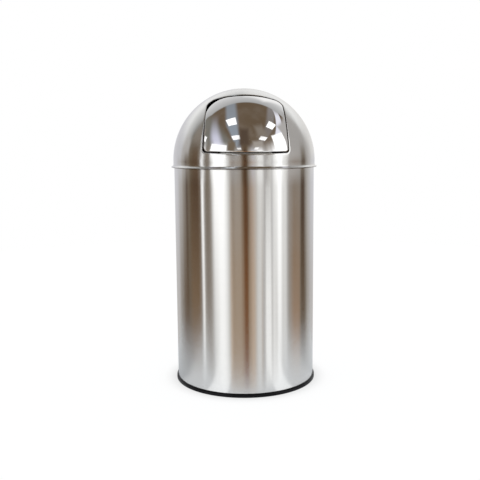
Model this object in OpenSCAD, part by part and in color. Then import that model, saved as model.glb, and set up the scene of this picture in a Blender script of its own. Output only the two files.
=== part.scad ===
// Dome top waste receptacle: a steel tube on a plastic foot ring, a lift-off dome with a
// sprung push flap, and a galvanised bucket inside with a bail.
// Millimetres. +Z is up, the floor is z = 0, the axis of the tube is the Z axis, and the
// flap faces -Y.

/* [Body] */
// Outer radius of the body tube
body_r = 175; // [150:1:200]
// Thickness of the body sheet
body_wall = 0.8; // [0.6:0.1:1.2]
// Height of the mouth above the floor
body_top = 545; // [480:5:620]
// Radius of the curl at the mouth
hem_r = 1.8; // [1.5:0.1:2.4]
// Width of the lapped seam down the back
seam_w = 9; // [6:1:14]
// How far the seam stands out of the sheet
seam_t = 0.5; // [0.3:0.1:0.8]

/* [Base] */
// Height of the base plate's upper face
plate_z = 15; // [13:1:20]
// Thickness of the base plate
plate_t = 0.8; // [0.6:0.1:1.2]
// Radius of the stiffening bead in the base plate
bead_r = 108; // [80:1:125]
// Height of that bead
bead_h = 4; // [3:0.5:5]
// How far the foot ring stands out past the tube
ring_out = 3.7; // [2.5:0.1:6]
// Height of the foot ring outside
ring_h = 9; // [7:0.5:12]
// Thickness of the foot ring under the tube
ring_floor = 3; // [2:0.5:4]
// Thickness of the foot ring's inner leg
ring_leg_t = 2.4; // [1.6:0.1:3.5]

/* [Lid] */
// How far the dome's outer surface stands out past the tube
dome_over = 2; // [1.5:0.1:3]
// Thickness of the lid's sheet
lid_sheet = 0.8; // [0.6:0.1:1.2]
// Height of the straight skirt and flare under the half sphere
skirt_h = 13; // [11:0.5:20]
// Radius of the flare at the lid's rim
flare_r = 5; // [3.5:0.5:6]
// How far the locating collar reaches down into the tube
collar_drop = 22; // [15:1:25]
// Thickness of the collar's sheet
collar_t = 0.8; // [0.6:0.1:1.2]

/* [Door opening] */
// Tilt of the opening's centre above the horizon, in degrees
door_tilt = 34.5; // [32:0.5:38]
// Half width of the opening at its centre
door_half_w = 96.2; // [85:1:105]
// Lean of the opening's sides, in degrees
door_lean = 4.4; // [1:0.2:6]
// Distance from the opening's centre up to its top edge
door_up = 82.5; // [76:0.5:88]
// Distance from the middle of the sill down to the dome's equator, along the slope
sill_gap = 17; // [15:0.5:22]
// Radius of the sill's slow curve
sill_r = 260; // [220:5:340]
// Radius of the opening's upper corners
corner_top_r = 25; // [18:1:32]
// Radius of the opening's lower corners
corner_low_r = 11; // [8:1:15]
// Depth of the edge that is folded inwards round the opening
fold_depth = 8; // [6:0.5:9]

/* [Flap] */
// Gap between the flap and the opening
door_gap = 3; // [2:0.2:4]
// Thickness of the flap's sheet
flap_sheet = 0.8; // [0.6:0.1:1.2]
// Depth of the flap's folded edge
flap_fold = 5; // [4:0.5:6]

/* [Hinge] */
// Radius of the hinge axle
axle_r = 3; // [2.5:0.1:3.5]
// Depth of the axle under the dome's outer surface
hinge_depth = 28; // [26:0.5:30]
// Distance from the opening's top edge down to the axle
hinge_drop = 14.5; // [13:0.5:18]
// Distance from the middle of the bin to the flap's hinge ears
ear_x = 46; // [36:1:48]
// Thickness of the ears, the brackets and the plate behind the flap
ear_t = 1.5; // [1:0.1:2]
// Radius of the round ends of the ears and the brackets
boss_r = 7; // [6:0.5:8]
// How far the plate behind the flap reaches below the axle
plate_reach = 26; // [18:1:34]
// Depth of the brackets' arms under the folded edge
arm_depth = 20; // [14:1:24]
// Wall thickness of the nylon bushes and of their flanges
bush_t = 1.2; // [0.8:0.1:1.5]
// Radius of the spring's wire
wire_r = 0.6; // [0.5:0.05:0.7]
// Whole turns in each torsion spring
coil_turns = 5; // [3:1:5]
// Steepness of the coil: the distance from one turn to the next
coil_pitch = 1.75; // [1.7:0.05:2]

/* [Stop bar] */
// Half length of the bar behind the foot of the flap
stop_half = 60; // [52:1:66]
// Height of the bar's riser above the middle of the sill
riser_up = 17; // [15:1:22]
// How far the bar's lip reaches below the sill
lip_down = 12; // [10:1:16]
// Height of the pad that is welded to the flap
stop_pad = 16; // [10:1:22]
// Distance from the ends of the bar to the buffers
buffer_in = 16; // [10:1:24]
// Radius of the buffers' heads
buffer_r = 4; // [3.2:0.2:4.4]

/* [Bucket] */
// Gap between the inside of the tube and the bucket's wall
bucket_gap = 22.2; // [20:0.2:45]
// How much smaller the bucket's radius is at its foot
bucket_taper = 2.5; // [0:0.5:8]
// Thickness of the bucket's sheet
bucket_wall = 0.6; // [0.5:0.1:1]
// Distance from the mouth of the tube down to the bucket's rim
rim_down = 37; // [35:1:60]
// Radius of the wired rim
rim_r = 3.5; // [2.5:0.1:4.5]
// Height of the bucket's bottom above its foot
bottom_up = 8; // [6:0.5:12]
// Radius of the swages pressed round the wall
swage_r = 3; // [2:0.5:4]

/* [Bail] */
// Radius of the bail's wire
bail_wire_r = 2.5; // [2:0.1:3]
// Height of the bail's pivot above the bucket's rim
pivot_up = 4; // [3.5:0.5:6]
// Half width of the lugs that hold the bail
lug_half_w = 13; // [10:1:16]
// Thickness of the lugs
lug_t = 1.5; // [1:0.1:2]
// Height of the lugs' feet, which are riveted to the wall
lug_len = 22; // [18:1:28]
// Radius of the rivets that hold the lugs
rivet_r = 2; // [1.5:0.1:2.5]
// Outer radius of the grip
grip_r = 7; // [6:0.5:8.5]
// Arc of the bail that the grip covers, in degrees
grip_arc = 36; // [20:2:50]

/* [Hidden] */
$fn = 96;
seat = 0.1; // gap between two pieces that are fixed to each other
rest = 0.3; // gap between two pieces that rest on each other but come apart
run = 0.06; // radial gap of a running fit
eps = 0.01; // overlap that joins two shapes of one piece
far = 400; // longer than anything that it cuts

// Base and body
body_in = body_r - body_wall;
plate_skirt_r = body_in - seat;
plate_corner_r = 5;
groove_z = ring_floor;
groove_in = plate_skirt_r - plate_t - seat;
leg_top = plate_z - plate_t - plate_corner_r;
ring_r = body_r + ring_out;
ring_lip_r = ring_out - seat; // the foot ring's upper edge is a quarter round
seam_foot = ring_h + 1;
hem_in = body_r - 2 * hem_r;

// Lid
dome_r = body_r + dome_over;
dome_in = dome_r - lid_sheet;
lid_z = body_top - 1; // upper face of the lid's rim, at its edge
equator_z = lid_z + skirt_h;
rim_edge_r = dome_r + flare_r;
collar_shelf_z = body_top + rest;
collar_r = hem_in - 0.8; // the collar slides in the mouth of the tube
collar_foot_z = body_top - collar_drop;
lead_in = 4; // height of the collar's tapered end
weld_down = 2; // distance from the dome's equator down to the collar's welded edge

// Door, in the frame of its opening: X across, Y up the slope, Z out of the dome
door_down = dome_r * sin(door_tilt) - sill_gap; // from the centre down to the sill's middle
lean_c = cos(door_lean);
lean_t = tan(door_lean);
sill_c = sill_r - door_down;
top_corner = [
    door_half_w - corner_top_r / lean_c - (door_up - corner_top_r) * lean_t,
    door_up - corner_top_r
];
low_a = door_half_w - corner_low_r / lean_c;
low_b = low_a * lean_t + sill_c;
low_q = sill_r - corner_low_r;
low_v = (low_b - sqrt(low_b * low_b
    - (1 + lean_t * lean_t) * (low_a * low_a + sill_c * sill_c - low_q * low_q)))
    / (1 + lean_t * lean_t);
low_corner = [low_a - low_v * lean_t, low_v];
low_angle = atan2(low_corner.y - sill_c, low_corner.x); // where the corner meets the sill
fold_in = dome_r - fold_depth; // radius of the folded edge's inner end

// Hinge, in the same frame
hinge_y = door_up - hinge_drop;
hinge_z = sqrt(pow(dome_r - hinge_depth, 2) - hinge_y * hinge_y);
plate_r = dome_r - flap_sheet - seat; // outer radius of what is welded behind the flap
bush_r = axle_r + run + bush_t;
ear_out = ear_x + ear_t;
bush_end = ear_out + bush_t;
coil_r = axle_r + wire_r + 1.1;
coil_start = 55; // angle at which the fixed leg leaves the coil
coil_end = 45 + 360 * coil_turns; // angle at which the flap's leg leaves it
coil_x = bush_end + 2 * wire_r + 0.3;
coil_len = coil_pitch * (coil_end - coil_start) / 360;
bracket_x = coil_x + coil_len + 2 * wire_r + 0.3;
bracket_out = bracket_x + ear_t;
flange_r = bush_r + 1.3; // flanges of the bushes
cap_r = axle_r + 2.6;
cap_len = 3.6;
cap_crown = 1.2; // the cap's raised middle
axle_half = bracket_out + cap_len - 1;
neck_gap = 3; // between a bracket's arm and the folded edge above it
neck_z = sqrt(fold_in * fold_in - bracket_x * bracket_x - pow(door_up + lid_sheet, 2)) - neck_gap;
foot_y = door_up + 5; // the bracket's foot starts just past the folded edge
foot_len = 20;
foot_w = 14;
fixed_leg = 22;

// Stop bar behind the foot of the flap
stop_r = fold_in - 0.7; // the bar passes under the folded edge
stop_top = -door_down + riser_up;
stop_foot = -door_down - lip_down;
buffer_x = stop_half - buffer_in;
buffer_y = stop_foot + 1.75 * buffer_r;
buffer_hole = 2.1;

// Bucket
bucket_r = body_in - bucket_gap;
foot_z = plate_z + rest;
rim_top = body_top - rim_down;
rim_c = bucket_r - bucket_wall + rim_r; // radius of the rim's centre line
rim_out = rim_c + rim_r;
bucket_foot_r = bucket_r - bucket_taper;
slope = bucket_taper / (rim_top - rim_r - foot_z);
bottom_r = bucket_foot_r - bucket_wall - seat;
bottom_z = foot_z + bottom_up;
swage_low = foot_z + 0.22 * (rim_top - foot_z);
swage_high = foot_z + 0.78 * (rim_top - foot_z);

// Lugs and bail
pivot_z = rim_top + pivot_up;
lug_in = bucket_r + seat;
lug_out = rim_out + 0.4;
step_z = rim_top - 2 * rim_r - 2.5; // where the lug steps out past the rim
lug_foot_z = step_z - lug_len;
rivet_y = 7;
rivet_z = (step_z + lug_foot_z) / 2 - 1;
pivot_hole = bail_wire_r + 0.3;
bail_head_x = lug_out + lug_t + 0.6;
bail_bend_r = 5; // bend between the bail's arc and its pins
bail_arc_r = rim_c - bail_bend_r;
grip_end_y = bail_bend_r + bail_arc_r * cos(grip_arc / 2);
bail_tilt = asin((rim_top + grip_r + rest - pivot_z) / grip_end_y);

function radius_at(z) = bucket_foot_r + slope * (z - foot_z);

// A ring about the Z axis with a rectangular section
module band(r_in, r_out, z_low, z_high) {
    translate([0, 0, z_low]) difference() {
        cylinder(r = r_out, h = z_high - z_low);
        translate([0, 0, -1]) cylinder(r = r_in, h = z_high - z_low + 2);
    }
}

// The same section as a flat shape for rotate_extrude
module bar(r_in, r_out, z_low, z_high) {
    translate([r_in, z_low]) square([r_out - r_in, z_high - z_low]);
}

// A curled edge: three quarters of a ring of sheet, open on the side given
module curl(r, t, open_x, open_y) {
    difference() {
        circle(r);
        circle(r - t);
        translate([open_x > 0 ? 0 : -2 * r, open_y > 0 ? 0 : -2 * r]) square(2 * r);
    }
}

// A shell between two spheres
module sphere_shell(r_out, r_in) {
    difference() {
        sphere(r_out);
        sphere(r_in);
    }
}

// Moves a shape from the door's frame to its place on the dome
module on_door() {
    translate([0, 0, equator_z]) rotate([90 - door_tilt, 0, 0]) children();
}

// A flat shape in the door frame's Y-Z plane, made a plate from x0 to x1
module across(x0, x1) {
    translate([x0, 0, 0]) rotate([90, 0, 90]) linear_extrude(x1 - x0) children();
}

// Moves a shape to the hinge's axis
module at_hinge() {
    translate([hinge_y, hinge_z]) children();
}

// Points along an arc, without its first point
function arc(centre, r, from, to, steps) = [for (i = [1:steps])
    let (a = from + (to - from) * i / steps) centre + r * [cos(a), sin(a)]];

// The right half of the door's outline, taken in by inset, from the top to the sill's middle
function half_outline(inset) = concat(
    [[top_corner.x, door_up - inset]],
    arc(top_corner, corner_top_r - inset, 90, door_lean, 8),
    [low_corner + (corner_low_r - inset) * [lean_c, sin(door_lean)]],
    arc(low_corner, corner_low_r - inset, door_lean, low_angle, 6),
    arc([0, sill_c], sill_r - inset, low_angle, -90, 10)
);

module door_outline(inset) {
    half = half_outline(inset);
    polygon(concat(half, [for (i = [len(half) - 2:-1:0]) [-half[i].x, half[i].y]]));
}

module door_prism(inset) {
    linear_extrude(dome_r + 10) door_outline(inset);
}

// ---- Body ----

module body_shell() {
    color("silver") {
        rotate_extrude() {
            bar(body_in, body_r, groove_z + seat, body_top - hem_r);
            translate([body_r - hem_r, body_top - hem_r]) curl(hem_r, body_wall, 1, -1);
        }
        intersection() {
            band(body_r - eps, body_r + seam_t, seam_foot, body_top - 2 * hem_r);
            translate([-seam_w / 2, 0, 0]) cube([seam_w, far, far * 2]);
        }
    }
}

module base_plate() {
    color("darkgray") rotate_extrude() {
        corner_c = [plate_skirt_r - plate_corner_r, plate_z - plate_corner_r];
        bar(0, bead_r - bead_h + eps, plate_z - plate_t, plate_z);
        bar(bead_r + bead_h - eps, corner_c.x, plate_z - plate_t, plate_z);
        bar(plate_skirt_r - plate_t, plate_skirt_r, groove_z + seat, corner_c.y);
        intersection() {
            translate(corner_c) difference() {
                circle(plate_corner_r);
                circle(plate_corner_r - plate_t);
            }
            translate(corner_c) square(plate_corner_r);
        }
        // the bead, pressed upwards
        intersection() {
            translate([bead_r, plate_z - plate_t]) difference() {
                circle(bead_h);
                circle(bead_h - plate_t);
            }
            bar(0, far, plate_z - plate_t, plate_z + bead_h);
        }
    }
}

module base_ring() {
    leg_in = groove_in - ring_leg_t;
    color("black") rotate_extrude() {
        difference() {
            union() {
                bar(leg_in, ring_r, 0, ring_h - ring_lip_r);
                bar(leg_in, groove_in, 0, leg_top);
                intersection() {
                    translate([body_r + seat, ring_h - ring_lip_r]) circle(ring_lip_r);
                    bar(body_r + seat, far, 0, ring_h);
                }
            }
            bar(groove_in, body_r + seat, groove_z, ring_h + 1);
        }
    }
}

// ---- Lid ----

// Half of the lid's section: the dome's arc, the skirt, and the flare with its rounded edge
module lid_section() {
    intersection() {
        translate([0, equator_z]) difference() {
            circle(dome_r);
            circle(dome_in);
        }
        bar(0, far, equator_z, 2 * far);
    }
    bar(dome_in, dome_r, lid_z + flare_r, equator_z);
    intersection() {
        translate([rim_edge_r, lid_z + flare_r]) difference() {
            circle(flare_r + lid_sheet);
            circle(flare_r);
        }
        bar(0, rim_edge_r, 0, lid_z + flare_r);
    }
    intersection() {
        translate([rim_edge_r, lid_z - lid_sheet / 2]) circle(lid_sheet / 2);
        bar(rim_edge_r, far, 0, 2 * far);
    }
}

module dome_shell() {
    color("silver") difference() {
        union() {
            rotate_extrude() lid_section();
            // the edge that is folded inwards round the opening
            on_door() intersection() {
                door_prism(-lid_sheet);
                sphere_shell(dome_r - lid_sheet / 2, fold_in);
            }
        }
        on_door() door_prism(0);
    }
}

// The collar: welded inside the skirt, resting on the tube's mouth, and tapered to enter it
module lid_collar() {
    weld_r = dome_in - seat;
    shelf_z = collar_shelf_z + collar_t;
    taper = 2;
    color("silver") rotate_extrude() polygon([
        [weld_r, collar_shelf_z],
        [weld_r, equator_z - weld_down],
        [weld_r - collar_t, equator_z - weld_down],
        [weld_r - collar_t, shelf_z],
        [collar_r - collar_t, shelf_z],
        [collar_r - collar_t, collar_foot_z + lead_in],
        [collar_r - collar_t - taper, collar_foot_z],
        [collar_r - taper, collar_foot_z],
        [collar_r, collar_foot_z + lead_in],
        [collar_r, collar_shelf_z]
    ]);
}

// The side of a bracket: a boss on the axle, and an arm that passes under the folded edge
module bracket_side() {
    at_hinge() circle(boss_r);
    polygon([
        [hinge_y - 0.7 * boss_r, hinge_z - 0.7 * boss_r],
        [hinge_y + 0.7 * boss_r, hinge_z - 0.7 * boss_r],
        [foot_y - neck_gap / 2, neck_z],
        [foot_y, dome_r],
        [foot_y + foot_len, dome_r],
        [foot_y + foot_len, neck_z - arm_depth],
        [hinge_y + 0.8 * boss_r, hinge_z - 3 * boss_r]
    ]);
}

module hinge_bracket() {
    weld_r = dome_in - seat;
    difference() {
        intersection() {
            across(bracket_x, bracket_out) bracket_side();
            sphere(weld_r);
        }
        across(bracket_x - 1, bracket_out + 1) at_hinge() circle(axle_r + run);
    }
    // the foot, welded to the inside of the dome
    intersection() {
        translate([bracket_x, foot_y, 0]) cube([foot_w, foot_len, far]);
        sphere_shell(weld_r, weld_r - ear_t);
    }
    // the tab that the spring's fixed leg pushes against
    across(bracket_x - 3 * wire_r - 2, bracket_x + eps) at_hinge()
        rotate(coil_start - 90) translate([fixed_leg - 7, coil_r + wire_r + seat])
            square([5, 1.2]);
}

module hinge_bracket_right() {
    color("silver") on_door() hinge_bracket();
}

module hinge_bracket_left() {
    color("silver") on_door() mirror([1, 0, 0]) hinge_bracket();
}

module hinge_axle() {
    color("gainsboro") on_door() across(-axle_half, axle_half) at_hinge() circle(axle_r);
}

module axle_cap() {
    difference() {
        union() {
            across(bracket_out + seat, bracket_out + cap_len) at_hinge() circle(cap_r);
            across(bracket_out + seat, bracket_out + cap_len + cap_crown) at_hinge()
                circle(cap_r - 1.6);
        }
        across(bracket_out - 1, axle_half + seat) at_hinge() circle(axle_r + run);
    }
}

module axle_cap_right() {
    color("black") on_door() axle_cap();
}

module axle_cap_left() {
    color("black") on_door() mirror([1, 0, 0]) axle_cap();
}

// ---- Torsion springs ----

// The wire's path: the fixed leg, the turns, then the leg that pushes the flap
function on_coil(a) = [
    bracket_x - 2 * wire_r - 0.3 - coil_pitch * (a - coil_start) / 360,
    hinge_y + coil_r * cos(a),
    hinge_z + coil_r * sin(a)
];
function along(a) = [0, -sin(a), cos(a)];
flap_leg_r2 = pow(plate_r - ear_t - wire_r - seat, 2) - coil_x * coil_x;
leg_root = [hinge_y + coil_r * cos(coil_end), hinge_z + coil_r * sin(coil_end)];
leg_run = leg_root * [-sin(coil_end), cos(coil_end)];
flap_leg = sqrt(leg_run * leg_run - leg_root * leg_root + flap_leg_r2) - leg_run;
coil_steps = 8; // rings in a turn
spring_path = concat(
    [on_coil(coil_start) - fixed_leg * along(coil_start)],
    [on_coil(coil_start) - wire_r * 2 * along(coil_start)],
    [for (i = [0:coil_turns * coil_steps])
        on_coil(coil_start + i * (coil_end - coil_start) / (coil_turns * coil_steps))],
    [on_coil(coil_end) + wire_r * 2 * along(coil_end)],
    [on_coil(coil_end) + flap_leg * along(coil_end)]
);

// Rings of six points round a path that lies nearly square to the X axis
function unit(a) = a / norm(a);
function path_way(p, i) = unit(p[min(i + 1, len(p) - 1)] - p[max(i - 1, 0)]);
function ring_at(p, i, r, sides) =
    let (t = path_way(p, i), b = unit(cross(t, [1, 0, 0])), c = cross(b, t))
    [for (k = [0:sides - 1]) p[i] + r * (cos(360 * k / sides) * b + sin(360 * k / sides) * c)];

module swept_wire(p, r, sides) {
    n = len(p);
    points = [for (i = [0:n - 1]) each ring_at(p, i, r, sides)];
    walls = [for (i = [0:n - 2], k = [0:sides - 1])
        let (a = i * sides + k, b = i * sides + (k + 1) % sides)
        each [[a, a + sides, b], [b, a + sides, b + sides]]];
    first = [for (k = [1:sides - 2]) [0, k, k + 1]];
    last = [for (k = [1:sides - 2])
        [(n - 1) * sides, (n - 1) * sides + k + 1, (n - 1) * sides + k]];
    polyhedron(points, concat(walls, first, last));
}

// The least distance between two turns of the coil, less the wire
coil_gap = min([for (i = [0:4:359])
    norm(on_coil(coil_start + i) - on_coil(coil_start + i + 360)) - 2 * wire_r]);
echo(least_gap_in_spring = coil_gap);

module torsion_spring_right() {
    color("dimgray") on_door() swept_wire(spring_path, wire_r, 6);
}

module torsion_spring_left() {
    color("dimgray") on_door() mirror([1, 0, 0]) swept_wire(spring_path, wire_r, 6);
}

// ---- Flap ----

module flap_skin() {
    color("lightgray") on_door() difference() {
        intersection() {
            door_prism(door_gap);
            sphere_shell(dome_r, dome_r - flap_fold);
        }
        intersection() {
            door_prism(door_gap + flap_sheet);
            sphere(dome_r - flap_sheet);
        }
    }
}

// The side of an ear: a boss round the axle on a wide root
module ear_side() {
    at_hinge() circle(boss_r);
    polygon([
        [hinge_y - boss_r, hinge_z],
        [hinge_y - boss_r - 8, dome_r],
        [hinge_y + boss_r - 1, dome_r],
        [hinge_y + boss_r, hinge_z]
    ]);
}

module flap_hinge_plate() {
    plate_low = hinge_y - plate_reach;
    plate_high = door_up - door_gap - flap_sheet - 2;
    color("silver") on_door() {
        intersection() {
            translate([-ear_out, plate_low, 0]) cube([2 * ear_out, plate_high - plate_low, far]);
            sphere_shell(plate_r, plate_r - ear_t);
        }
        for (side = [0, 1]) mirror([side, 0, 0]) difference() {
            intersection() {
                across(ear_x, ear_out) ear_side();
                sphere(plate_r);
            }
            across(ear_x - 1, ear_out + 1) at_hinge() circle(bush_r + seat);
        }
    }
}

module flap_bush() {
    difference() {
        union() {
            across(ear_x - bush_t, bush_end) at_hinge() circle(bush_r);
            across(ear_out + seat, bush_end) at_hinge() circle(flange_r);
            across(ear_x - bush_t, ear_x - seat) at_hinge() circle(flange_r);
        }
        across(ear_x - bush_t - 1, bush_end + 1) at_hinge() circle(axle_r + run);
    }
}

module flap_bush_right() {
    color("white") on_door() flap_bush();
}

module flap_bush_left() {
    color("white") on_door() mirror([1, 0, 0]) flap_bush();
}

// Places a shape on the dome's radius through the right-hand buffer, with Z outwards
module at_buffer() {
    out_z = sqrt(stop_r * stop_r - buffer_x * buffer_x - buffer_y * buffer_y);
    turn = atan2(-buffer_y, out_z);
    lean = asin(buffer_x / stop_r);
    rotate([turn, 0, 0]) rotate([0, lean, 0]) children();
}

module flap_stop_bar() {
    color("silver") on_door() difference() {
        union() {
            // the lip behind the sill
            intersection() {
                translate([-stop_half, stop_foot, 0])
                    cube([2 * stop_half, stop_top - stop_foot, far]);
                sphere_shell(stop_r, stop_r - ear_t);
            }
            // the riser
            intersection() {
                translate([-stop_half, stop_top - ear_t, 0]) cube([2 * stop_half, ear_t, far]);
                sphere_shell(plate_r - ear_t / 2, stop_r - ear_t / 2);
            }
            // the pad, welded to the flap
            intersection() {
                translate([-stop_half, stop_top - ear_t, 0]) cube([2 * stop_half, stop_pad, far]);
                sphere_shell(plate_r, plate_r - ear_t);
            }
        }
        for (side = [0, 1]) mirror([side, 0, 0]) at_buffer()
            translate([0, 0, stop_r - 5]) cylinder(r = buffer_hole, h = 10);
    }
}

module stop_buffer() {
    head_z = stop_r + seat;
    at_buffer() {
        translate([0, 0, head_z]) cylinder(r = buffer_r, h = dome_in - rest - seat - head_z);
        translate([0, 0, stop_r - ear_t - 2]) cylinder(r = buffer_hole - seat, h = ear_t + 2.5);
        translate([0, 0, stop_r - ear_t - seat - 2]) cylinder(r = buffer_r - 0.6, h = 1.9);
    }
}

module stop_buffer_right() {
    color("black") on_door() stop_buffer();
}

module stop_buffer_left() {
    color("black") on_door() mirror([1, 0, 0]) stop_buffer();
}

// ---- Bucket ----

// A length of the bucket's tapered wall, as a flat shape
module wall_strip(z_low, z_high) {
    polygon([
        [radius_at(z_low) - bucket_wall, z_low], [radius_at(z_low), z_low],
        [radius_at(z_high), z_high], [radius_at(z_high) - bucket_wall, z_high]
    ]);
}

// A swage: a half round of the wall, pressed outwards
module swage(z) {
    reach = swage_r - bucket_wall / 2;
    translate([radius_at(z) - bucket_wall, z]) intersection() {
        difference() {
            circle(swage_r);
            circle(swage_r - bucket_wall);
        }
        translate([0, -far]) square([far, 2 * far]);
    }
}

module bucket_shell() {
    reach = swage_r - bucket_wall / 2;
    color("lightsteelblue") difference() {
        rotate_extrude() {
            wall_strip(foot_z, swage_low - reach);
            wall_strip(swage_low + reach, swage_high - reach);
            wall_strip(swage_high + reach, rim_top - rim_r);
            swage(swage_low);
            swage(swage_high);
            translate([rim_c, rim_top - rim_r]) curl(rim_r, bucket_wall, -1, -1);
        }
        rivet_holes();
    }
}

module bucket_bottom() {
    color("lightsteelblue") rotate_extrude() {
        bar(0, bottom_r - bucket_wall, bottom_z - bucket_wall, bottom_z);
        bar(bottom_r - bucket_wall - eps, bottom_r, foot_z + 1, bottom_z);
    }
}

module rim_wire() {
    color("gray") rotate_extrude() translate([rim_c, rim_top - rim_r])
        circle(rim_r - bucket_wall - seat);
}

module rivet_holes() {
    for (side = [-1, 1], y = [-rivet_y, rivet_y]) translate([0, y, rivet_z])
        rotate([0, side * 90, 0]) cylinder(r = rivet_r + seat, h = far);
}

// A lug: it lies on the wall, steps out past the rim and holds the bail's end
module bail_lug() {
    difference() {
        union() {
            intersection() {
                union() {
                    band(lug_in, lug_in + lug_t, lug_foot_z, step_z);
                    band(lug_in, lug_out + lug_t, step_z - eps, step_z + lug_t);
                    band(lug_out, lug_out + lug_t, step_z, pivot_z);
                }
                translate([0, -lug_half_w, 0]) cube([far, 2 * lug_half_w, 2 * far]);
            }
            intersection() {
                band(lug_out, lug_out + lug_t, step_z, pivot_z + lug_half_w);
                translate([0, 0, pivot_z]) rotate([0, 90, 0])
                    cylinder(r = lug_half_w - 4, h = far);
            }
        }
        translate([0, 0, pivot_z]) rotate([0, 90, 0]) cylinder(r = pivot_hole, h = far);
        rivet_holes();
    }
}

module bail_lug_right() {
    color("gainsboro") bail_lug();
}

module bail_lug_left() {
    color("gainsboro") mirror([1, 0, 0]) bail_lug();
}

module lug_rivets() {
    wall_x = sqrt(pow(radius_at(rivet_z) - bucket_wall, 2) - pow(rivet_y + 2 * rivet_r, 2)) - seat;
    face_x = sqrt(pow(lug_in + lug_t, 2) - pow(rivet_y - 2 * rivet_r, 2)) + seat;
    color("gainsboro") for (side = [-1, 1], y = [-rivet_y, rivet_y])
        translate([0, y, rivet_z]) rotate([0, side * 90, 0]) {
            translate([0, 0, wall_x - 1.2]) cylinder(r = 2 * rivet_r, h = 1.2);
            translate([0, 0, wall_x - eps]) cylinder(r = rivet_r, h = face_x - wall_x + 2 * eps);
            translate([0, 0, face_x]) cylinder(r = 2 * rivet_r, h = 1.5);
        }
}

// ---- Bail ----

// A shape in the bail's own frame, laid back on the rim
module lay_back() {
    translate([0, 0, pivot_z]) rotate([bail_tilt, 0, 0]) children();
}

module bail_wire() {
    color("gainsboro") lay_back() {
        translate([0, bail_bend_r, 0]) rotate_extrude(angle = 180)
            translate([bail_arc_r, 0]) circle(bail_wire_r);
        for (side = [0, 1]) mirror([side, 0, 0]) {
            // the bend into the lug, the pin through it, and the head that keeps it there
            translate([rim_c, bail_bend_r, 0]) rotate([0, 0, 180]) rotate_extrude(angle = 90)
                translate([bail_bend_r, 0]) circle(bail_wire_r);
            translate([rim_c, 0, 0]) rotate([0, 90, 0])
                cylinder(r = bail_wire_r, h = bail_head_x + 0.5 - rim_c);
            translate([bail_head_x, 0, 0]) rotate([0, 90, 0])
                cylinder(r = bail_wire_r + 1.5, h = 1.8);
        }
    }
}

module bail_grip() {
    bore_r = bail_wire_r + seat;
    color("black") lay_back() translate([0, bail_bend_r, 0]) rotate([0, 0, 90 - grip_arc / 2])
        rotate_extrude(angle = grip_arc) translate([bail_arc_r, 0]) difference() {
            circle(grip_r);
            circle(bore_r);
        }
}

body_shell();
base_plate();
base_ring();
dome_shell();
lid_collar();
hinge_bracket_left();
hinge_bracket_right();
hinge_axle();
axle_cap_left();
axle_cap_right();
torsion_spring_left();
torsion_spring_right();
flap_skin();
flap_hinge_plate();
flap_bush_left();
flap_bush_right();
flap_stop_bar();
stop_buffer_left();
stop_buffer_right();
bucket_shell();
bucket_bottom();
rim_wire();
bail_lug_left();
bail_lug_right();
lug_rivets();
bail_wire();
bail_grip();
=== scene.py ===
import math
import bmesh
import bpy
from mathutils import Matrix, Vector


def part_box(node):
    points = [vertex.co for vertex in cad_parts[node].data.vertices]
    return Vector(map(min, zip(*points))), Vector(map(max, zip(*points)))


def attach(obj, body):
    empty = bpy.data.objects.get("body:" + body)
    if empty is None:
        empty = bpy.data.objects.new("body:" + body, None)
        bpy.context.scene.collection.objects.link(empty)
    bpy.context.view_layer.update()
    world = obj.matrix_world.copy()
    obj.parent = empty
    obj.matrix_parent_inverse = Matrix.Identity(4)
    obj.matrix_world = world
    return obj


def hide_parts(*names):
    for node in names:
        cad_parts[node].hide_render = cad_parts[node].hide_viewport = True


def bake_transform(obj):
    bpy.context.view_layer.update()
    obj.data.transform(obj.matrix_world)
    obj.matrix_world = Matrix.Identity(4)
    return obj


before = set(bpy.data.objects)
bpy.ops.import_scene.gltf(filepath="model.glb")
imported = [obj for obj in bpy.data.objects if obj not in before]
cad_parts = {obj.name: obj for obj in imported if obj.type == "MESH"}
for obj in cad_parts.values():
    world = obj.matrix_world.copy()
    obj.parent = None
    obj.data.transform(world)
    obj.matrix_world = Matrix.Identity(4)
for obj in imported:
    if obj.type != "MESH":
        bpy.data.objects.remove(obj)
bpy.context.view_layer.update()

MM = 0.001


# ---- Camera ----
# It stands 1.8 m in front of the bin, a little above the middle, and looks slightly down.
# The bin's axis lies just right of the picture's centre and leans back by half a degree.
camera_distance = 1.789
camera_height = 0.609
camera_turn = math.radians(-2.0)
camera_pitch = math.radians(8.14)
camera_roll = math.radians(-0.44)
camera_lens, camera_sensor = 52.98, 36  # mm
picture_size = 480
axis_from_centre = (4.6, 0.45)  # pixels, right of the picture's centre and down

camera_data = bpy.data.cameras.new("camera")
camera_data.sensor_width = camera_sensor
camera_data.lens = camera_lens
camera_data.shift_x = -axis_from_centre[0] / picture_size
camera_data.shift_y = axis_from_centre[1] / picture_size
camera = bpy.data.objects.new("camera", camera_data)
camera.matrix_world = (
    Matrix.Rotation(camera_turn, 4, "Z")
    @ Matrix.Translation((0, -camera_distance, camera_height))
    @ Matrix.Rotation(math.pi / 2 - camera_pitch, 4, "X")
    @ Matrix.Rotation(camera_roll, 4, "Z")
)
bpy.context.scene.collection.objects.link(camera)
bpy.context.scene.camera = camera
bpy.context.scene.view_settings.view_transform = "Standard"


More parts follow.
